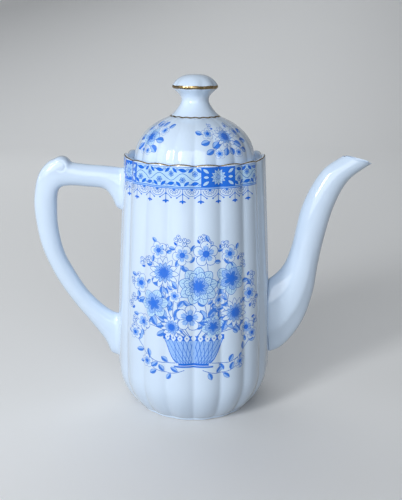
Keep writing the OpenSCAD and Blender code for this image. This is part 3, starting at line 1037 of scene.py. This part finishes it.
class POT_OT_border(Operator):
    """Print the border below the rim: blue panels with pale rosettes, and a wavy vine between them"""
    bl_idname = "coffee_pot.border"
    bl_label = "Border Print"

    def execute(self, context):
        radius = PRINT_RADIUS["border"]
        d = Drawing(columns=skin_columns(radius))
        length, height = BORDER_END - BORDER_START, BORDER_HIGH - BORDER_LOW
        below = BORDER_LOW - 1.2
        d.lay(block(length, 1.2, WASH), BORDER_START, below)
        d.lay(block(length, height, TINT), BORDER_START, BORDER_LOW, order=-10)
        for y, wide in ((BORDER_HIGH, 0.32), (BORDER_LOW, 0.42), (below, 0.42)):
            d.lay(stroke([(BORDER_START, y), (BORDER_END, y)], wide, tone=MID), order=14)
        rosette = self.rosette()
        for left, room in PANELS:
            d.lay(block(PANEL, height - 0.3, COBALT), left, BORDER_LOW + 0.15)
            d.lay(rosette, left + PANEL / 2, BORDER_MIDDLE, order=14)
            self.vine(d, left + PANEL, room)
        self.vine(d, PANELS[0][0] - VINE, VINE, BORDER_START)
        pressed("border_print", d, on_pot, radius, "pot", True)
        return {"FINISHED"}

    def rosette(self):
        """A round rosette of two rings of petals, with a leaf at each corner and on either side."""
        flower = Drawing()
        for ring, reach in enumerate((5.6, 4.3)):
            vein = stroke([(reach * 0.35, 0), (reach * 0.78, 0)], 0.26, 0.1)
            for k in range(12):
                turn = 30 * k + 15 * ring
                flower.lay(petal(reach, 2.3, TINT, 0.16, 0.9), turn=turn, order=14 * ring)
                flower.lay(vein, turn=turn, order=14 * ring + 12)
        flower.lay(disc(1.5, WASH, 0.3), order=42)
        for x in (-1, 1):
            for y in (-1, 1):
                flower.lay(leaf(4.6, 1.9, TINT), 8.6 * x, 3.9 * y, 35 * x * y)
            flower.lay(leaf(3.4, 1.7, TINT), 8.4 * x, 0)
        return flower

    def vine(self, d, left, room, start=-math.inf):
        """An even wavy stem with a flower in each bay and leaves on both sides of it, none before start."""
        bays = round(room / 8)
        bay = room / bays
        stem = [(left + bay * k / 4, BORDER_MIDDLE + 2.3 * math.sin(math.pi * k / 4))
                for k in range(4 * bays + 1)]
        d.lay(stroke([point for point in stem if point[0] >= start], 0.36, steps=2))
        bloom = blossom(2.1, [(6, 1, WASH, None)], 0.8, 0.22, 0.3)
        for k in range(bays):
            x, side = left + bay * (k + 0.5), 1 - 2 * (k % 2)
            if x - bay / 2 < start:
                continue
            near, far = BORDER_MIDDLE - 4.3 * side, BORDER_MIDDLE + 4.9 * side
            d.lay(bloom, x, BORDER_MIDDLE - 1.9 * side, 30 * k, order=6)
            d.lay(leaf(5.6, 2.5), x, BORDER_MIDDLE + 4.3 * side, -12 * side, order=12)
            for across in (-1, 1):
                d.lay(leaf(4.4, 2.1), x + 0.33 * bay * across, near, 42 * across * side, order=12)
                d.lay(leaf(2.6, 1.3, WASH, 0.22), x + 0.4 * bay * across, far, 20 * across, order=12)


# The lace: repeats that would fill the whole round, the first and last pendant on each side of the pot,
# and in millimetres the place of pendant 0 and the height that they hang from
LACE_REPEATS, LACE_FIRST, LACE_LAST = 27, -6, 3
LACE_MIDDLE, LACE_TOP = 4.06, 168.1


class POT_OT_lace(Operator):
    """Print the fringe of pendants and fans that hangs from the border"""
    bl_idname = "coffee_pot.lace"
    bl_label = "Lace Print"

    def execute(self, context):
        radius = PRINT_RADIUS["border"]
        step = 2 * math.pi / LACE_REPEATS * radius / MM
        d = Drawing(columns=skin_columns(radius))
        pendant, fan = self.pendant(), self.fan()
        for k in range(LACE_FIRST, LACE_LAST + 1):
            d.lay(pendant, LACE_MIDDLE + step * k, LACE_TOP)
            d.lay(fan, LACE_MIDDLE + step * (k + 0.5 if k < LACE_LAST else LACE_FIRST - 0.5), LACE_TOP)
        pressed("lace_print", d, on_pot, radius, "pot", True)
        return {"FINISHED"}

    def pendant(self):
        """A stem with two arms that end in dots, and three petals at its foot."""
        d = Drawing()
        d.lay(stroke([(0, 0), (0, -3), (0, -6.6)], 0.42, tone=MID, steps=1), order=14)
        d.lay(disc(0.6, MID), 0, -3.1, order=16)
        for side in (-1, 1):
            arm = [(0, -3.1), (1.9 * side, -4.25), (3.7 * side, -5.6)]
            d.lay(stroke(arm, 0.4, tone=MID, steps=2), order=14)
            d.lay(disc(0.55, MID), 3.8 * side, -5.7, order=16)
            d.lay(petal(2.4, 1.3, COBALT, 0, 0.9), 0, -7.4, -90 + 66 * side, order=14)
        d.lay(petal(3.2, 1.8, COBALT, 0, 0.95), 0, -6.4, -90, order=16)
        return d

    def fan(self):
        """Open petals round a dot, inside an arc."""
        d = Drawing()
        for k in range(6):
            d.lay(petal(3.7, 1.6, None, 0.27, 0.3), 0, 0.2, -165 + 30 * k)
        d.lay(disc(0.8, MID), 0, -0.5, order=12)
        d.lay(stroke([polar(4.6, -172 + 20.5 * k) for k in range(9)], 0.34, tone=MID, steps=2))
        return d


def on_both_sides(stems, sides=(-1, 1)):
    """Each stem once on either side of the middle."""
    return [[(side * x, y) for x, y in stem] for stem in stems for side in sides]


# The bouquet: kind, distance to the right, height, size and turn of each flower
BOUQUET = [
    ("peony", 3, 16, 1.35, 8), ("aster", -21, 24, 1.1, 0), ("rose", 26, 20, 1.15, 30),
    ("rose", -28, 2, 1.05, 70), ("aster", 29, -4, 1.05, 12), ("five", 8, 38, 0.9, 20),
    ("five", -8, 37, 0.72, 50), ("five", -40, 14, 0.68, 0), ("five", 42, 7, 0.68, 35),
    ("five", -3, -6, 0.95, 10), ("aster", -15, -13, 0.78, 0), ("rose", 13, -12, 0.82, 15),
    ("five", -37, -13, 0.66, 60), ("five", 39, -17, 0.66, 20), ("five", 25, 37, 0.62, 0),
    ("five", -25, 39, 0.62, 40), ("five", -13, 9, 0.5, 15), ("five", 17, 6, 0.5, 40)]
BOUQUET_MIDDLE = 88.0  # its height on the pot in millimetres
# Side sprigs beside the basket: the points of each stem
SPRIGS = on_both_sides([[(12, -38), (24, -39), (36, -33), (44, -22)],
                        [(6, -43), (15, -46), (25, -45), (33, -40)]], (1, -1))


class POT_OT_medallion(Operator):
    """Print a basket of flowers on each side of the pot"""
    bl_idname = "coffee_pot.medallion"
    bl_label = "Flower Basket Print"

    def execute(self, context):
        radius = PRINT_RADIUS["medallion"]
        d = Drawing(columns=skin_columns(radius), rows=[z / MM for z in side_rows() if z < 0.075])
        middle = BOUQUET_MIDDLE
        kinds = flower_kinds()
        blade, cluster = veined(8.4, 5.2), berries()
        for index, (kind, x, y, size, turn) in enumerate(BOUQUET):
            bend = 7 if x > 0 else -7
            stem = [(x * 0.12, -22), (x * 0.5 + bend, y * 0.3 - 10), (x, y)]
            d.lay(stroke(stem, 0.5, 0.34), 0, middle)
            for k, side in ((2, 1), (3, -1), (4, 1)):
                self.leaf_on(d, blade, stem, k / 3, side, 0.6 + 0.12 * ((index + k) % 4), middle)
            for k in range(3):
                around = turn + 37 * index + 120 * k
                right, up = polar(10 * size + 1.2, around)
                d.lay(blade, x + right, middle + y + up, around + 25, 0.42 + 0.2 * size, order=12)
            d.lay(kinds[kind], x, middle + y, turn, size, order=26)
        for points in SPRIGS:
            d.lay(stroke(points, 0.45, 0.34), 0, middle)
            for k in range(1, 7):
                self.leaf_on(d, blade, points, k / 2, (-1) ** k, 0.68, middle)
            x, y = points[-1]
            d.lay(kinds["five"], x, middle + y, 20, 0.5, order=26)
        for k in range(24):
            around = -24 + 228 * k / 23
            right, up = polar(42.4 + 2.6 * (k % 2), around)
            d.lay(cluster, right, middle + up, around + 24 * (-1) ** k, order=12)
        self.basket(d, middle)
        pressed("medallion_print", d, on_pot, radius, "pot", True)
        return {"FINISHED"}

    def leaf_on(self, d, blade, stem, t, side, size, middle):
        """A leaf beside a stem, leaning forward along it."""
        t = min(t, len(stem) - 1.02)
        x, y = through(stem, t)
        ahead = through(stem, t + 0.02)
        along = math.degrees(math.atan2(ahead[1] - y, ahead[0] - x)) + 48 * side
        right, up = polar(5.2 * size, along)
        d.lay(blade, x + right, middle + y + up, along, size, order=6)

    def basket(self, d, middle):
        """A footed basket with a plaited side and a banded rim."""
        top, low = -22.0, -38.0

        def half(y):
            return 11 + 9 * ((y - low) / (top - low)) ** 0.7

        side = [(half(low + (top - low) * k / 6), low + (top - low) * k / 6) for k in range(7)]
        rows = [[Vector((-x, y, 0)), Vector((x, y, 0))] for x, y in side]
        body, _, _ = drawn(rows, closed=False)
        for f in body.faces:
            f.material_index = WASH
        d.lay(Drawing(body), 0, middle, order=12)
        for k in range(-6, 7):
            for lean in (-1, 1):
                points = [(k * 3.0 * half(y) / 20 + lean * (y - low) * 0.35, y) for x, y in side]
                points = [(x, y) for x, y in points if abs(x) < half(y)]
                if len(points) > 1:
                    d.lay(stroke(points, 0.42, tone=MID, steps=2), 0, middle, order=18)
        for mirror in (-1, 1):
            d.lay(stroke([(mirror * x, y) for x, y in side], 0.6, tone=COBALT, steps=2), 0, middle, order=24)
        d.lay(block(42, 3.4, COBALT), -21, middle + top, order=26)
        for k in range(9):
            d.lay(leaf(3.6, 4.4, WHITE), -18 + 4.5 * k, middle + top + 1.7, order=38)
            d.lay(disc(0.5, MID), -18 + 4.5 * k, middle + top + 1.7, order=50)
        d.lay(block(20, 1.6, COBALT), -10, middle + low - 1.6, order=26)
        d.lay(block(26, 1.2, MID), -13, middle + low - 3.2, order=26)


def flower_kinds():
    """Drawings of the flowers, ten millimetres in radius."""
    five = blossom(10, [(5, 1, WHITE, WASH)], 0.98, 0.26, 0.42, 0.35)
    for k in range(10):
        five.lay(stroke([(2, 0), (6.4, 0)], 0.5, 0.2, MID, 1), turn=36 * k + 18, order=20)
    peony = [(9, 1, TINT, WASH), (8, 0.76, TINT, WASH), (7, 0.52, WASH, MID)]
    aster = [(13, 1, WHITE, WASH), (11, 0.66, WASH, MID)]
    rose = [(6, 1, TINT, WASH), (5, 0.72, WASH, MID)]
    return {"peony": blossom(10, peony, 0.72, 0.14, veins=3, rays=16),
            "aster": blossom(10, aster, 0.4, 0.22, rays=22),
            "rose": blossom(10, rose, 0.85, 0.2, veins=3, rays=16), "five": five}


def paired(rows):
    """Each row (kind, distance to the right, rise, turn, size) and its mirror image."""
    return [row for kind, x, y, turn, size in rows
            for row in ((kind, x, y, turn, size), (kind, -x, y, 180 - turn, size))]


# The two sprays of the lid, each the same on both sides of its middle
LID_SPRAY = [("aster", 0, 24, 0, 0.9), *paired([
    ("five", 13.4, 27, 20, 0.52), ("blade", 8.6, 17.6, -42, 1.15), ("blade", 16, 19.4, -16, 1.05),
    ("blade", 20.4, 27.6, 24, 0.9), ("cluster", 7.4, 31.6, 50, 0.85), ("five", 7.4, 11, 10, 0.4),
    ("blade", 13.4, 12.4, -32, 0.95), ("blade", 2.4, 12.2, -74, 0.95)])]
LID_NOSEGAY = [("rose", 0, 22, 10, 0.85), ("five", 0, 33.2, 0, 0.48), *paired([
    ("five", 9.8, 28.6, 0, 0.46), ("blade", 10.4, 20.4, -6, 1.15), ("blade", 7.2, 13.4, -48, 1.15),
    ("blade", 5.4, 34.6, 62, 0.95), ("blade", 14.6, 33.2, 40, 0.95), ("five", 2.8, 11.4, 0, 0.34)])]
LID_STEMS = [
    on_both_sides([[(21, 28), (12, 27), (0, 24)], [(13, 12), (7, 16), (0, 24)], [(3, 10), (1, 16), (0, 22)]]),
    on_both_sides([[(15, 33), (8, 28), (0, 22)], [(9, 11), (5, 16), (0, 22)], [(0, 34), (0, 28), (0, 22)]])]
FIRST_SPRAY = -55  # direction of the first of the four sprays, in degrees from the front


class POT_OT_sprays(Operator):
    """Print four flower sprays round the lid"""
    bl_idname = "coffee_pot.sprays"
    bl_label = "Lid Print"

    def execute(self, context):
        radius = PRINT_RADIUS["lid"]
        rows = [DOME_RISE * dome_share(k) for k in range(DOME_ROWS + 1)]
        d = Drawing(columns=skin_columns(radius), rows=rows)
        kinds = {**flower_kinds(), "blade": veined(6.2, 4.6), "cluster": berries()}
        for side in range(4):
            middle = math.radians(FIRST_SPRAY + 90 * side) * radius / MM
            flowers, stems = ((LID_NOSEGAY, LID_STEMS[1]), (LID_SPRAY, LID_STEMS[0]))[side % 2]
            for points in stems:
                d.lay(stroke(points, 0.4, 0.3), middle)
            for kind, x, y, turn, size in flowers:
                d.lay(kinds[kind], middle + x, y, turn, size, order=24 if kind in ("aster", "rose") else 6)
        pressed("lid_print", d, on_lid, radius, "lid")
        return {"FINISHED"}


def seen_directly(tree):
    """One for what the camera, a mirror or a glass shows, and nothing for light that bounces."""
    paths = tree.nodes.new("ShaderNodeLightPath")
    seen = paths.outputs["Is Camera Ray"]
    for ray in ("Is Glossy Ray", "Is Transmission Ray"):
        either = tree.nodes.new("ShaderNodeMath")
        either.operation = "MAXIMUM"
        tree.links.new(seen, either.inputs[0])
        tree.links.new(paths.outputs[ray], either.inputs[1])
        seen = either.outputs[0]
    return seen


class POT_OT_stage(Operator):
    """Set the pale floor, the soft lamps and the camera"""
    bl_idname = "coffee_pot.stage"
    bl_label = "Stage"

    def execute(self, context):
        self.floor()
        self.lamps()
        self.camera()
        return {"FINISHED"}

    def floor(self):
        bend, wall = 0.6, 1.3  # radius of the sweep up to the backdrop, and where it starts, in metres
        sweep = [(wall + bend * math.sin(a), bend - bend * math.cos(a))
                 for a in (math.pi / 2 * k / 16 for k in range(1, 17))]
        path = [(-1.5, 0), (wall, 0), *sweep, (1.9, 3.0)]
        bm, _, _ = drawn([[(-2.5, y, z), (2.5, y, z)] for y, z in path], closed=False)
        bmesh.ops.recalc_face_normals(bm, faces=bm.faces)
        mesh = bpy.data.meshes.new("floor_sheet")
        bm.to_mesh(mesh)
        bm.free()
        if mesh.polygons[0].normal.z < 0:
            mesh.flip_normals()
        for f in mesh.polygons:
            f.use_smooth = True
        material, tree, principled, place = shader("floor_paper")
        mottle(tree, principled, seen_directly(tree), sizes().finish.floor, 0.38)
        tree.links.new(spread(tree, noise(tree, place, 3, 4), 0.6, 0.75), principled.inputs["Roughness"])
        principled.inputs["Specular IOR Level"].default_value = 0.25
        mesh.materials.append(material)
        sheet = placed("floor_sheet", mesh)

    def lamps(self):
        def area(name, place, aim, width, height, watts, tint=(1, 1, 1)):
            lamp = bpy.data.lights.new(name, "AREA")
            lamp.shape, lamp.size, lamp.size_y = "RECTANGLE", width, height
            lamp.energy, lamp.color = watts, tint
            obj = placed(name, lamp)
            obj.location = place
            obj.rotation_euler = (Vector(aim) - Vector(place)).to_track_quat("-Z", "Y").to_euler()
            return obj

        area("window_lamp", (-0.85, -1.0, 0.73), (0, 0, 0.11), 0.3, 0.5, 8.6, (0.98, 0.99, 1.0))
        area("left_fill", (-1.5, -0.2, 0.7), (0, 0, 0.12), 0.9, 1.2, 3, (0.96, 0.985, 1.0))
        area("front_fill", (-0.4, -1.83, 0.82), (0, 0, 0.1), 2.3, 1.4, 25.2, (0.97, 0.99, 1.0))
        back = area("back_fill", (-0.35, 1.25, 1.15), (0, 0, 0.12), 2.2, 1.4, 13, (0.97, 0.99, 1.0))
        back.visible_glossy = False
        world = bpy.data.worlds.new("studio")
        bpy.context.scene.world = world
        world.use_nodes = True
        tree = world.node_tree
        sky = tree.nodes["Background"]
        dial(sky, {"Color": (0.84, 0.87, 0.92, 1)})
        level = tree.nodes.new("ShaderNodeMapRange")
        dial(level, {"To Min": 0.09, "To Max": 0.5})
        tree.links.new(seen_directly(tree), level.inputs["Value"])
        tree.links.new(level.outputs["Result"], sky.inputs["Strength"])

    def camera(self):
        place = Vector((0, -0.520, 0.2588))
        pitch, pan, roll = 0.2712, 0.00943, 0.00835
        focal_pixels, picture_width, sensor = 746.4, 402, 36
        lens = bpy.data.cameras.new("camera")
        lens.sensor_fit, lens.sensor_width = "HORIZONTAL", sensor
        lens.lens = focal_pixels * sensor / picture_width
        lens.clip_start, lens.clip_end = 0.01, 20
        camera = placed("camera", lens)
        turns = [(-pan, "Z"), (math.pi / 2 - pitch, "X"), (roll, "Z")]
        first, second, third = (Matrix.Rotation(angle, 4, axis) for angle, axis in turns)
        camera.matrix_world = Matrix.Translation(place) @ (first @ second @ third)
        bpy.context.scene.camera = camera
        bpy.context.scene.view_settings.view_transform = "Standard"


OPERATORS = [POT_OT_body, POT_OT_spout, POT_OT_handle, POT_OT_lid, POT_OT_knob, POT_OT_gilding, POT_OT_border,
             POT_OT_lace, POT_OT_medallion, POT_OT_sprays, POT_OT_stage]


class POT_PT_pieces(Panel):
    """Lists the pieces of the coffee pot"""
    bl_idname = "POT_PT_pieces"
    bl_label = "Coffee Pot"
    bl_space_type = "VIEW_3D"
    bl_region_type = "UI"
    bl_category = "Coffee Pot"

    def draw(self, context):
        for operator in OPERATORS:
            self.layout.operator(operator.bl_idname)
        for group in ("pot", "spout", "handle", "lid", "finish"):
            values = getattr(context.scene.coffee_pot, group)
            box = self.layout.box()
            box.label(text=group.capitalize())
            for name in values.bl_rna.properties.keys():
                if name not in ("rna_type", "name"):
                    box.prop(values, name)


CLASSES = [PotSizes, SpoutSizes, HandleSizes, LidSizes, Finishes, CoffeePot, *OPERATORS, POT_PT_pieces]


def register():
    for c in CLASSES:
        bpy.utils.register_class(c)
    bpy.types.Scene.coffee_pot = PointerProperty(type=CoffeePot)


def unregister():
    del bpy.types.Scene.coffee_pot
    for c in reversed(CLASSES):
        bpy.utils.unregister_class(c)


def main():
    register()
    for operator in OPERATORS:
        group, name = operator.bl_idname.split(".")
        getattr(getattr(bpy.ops, group), name)()


if __name__ == "__main__":
    main()
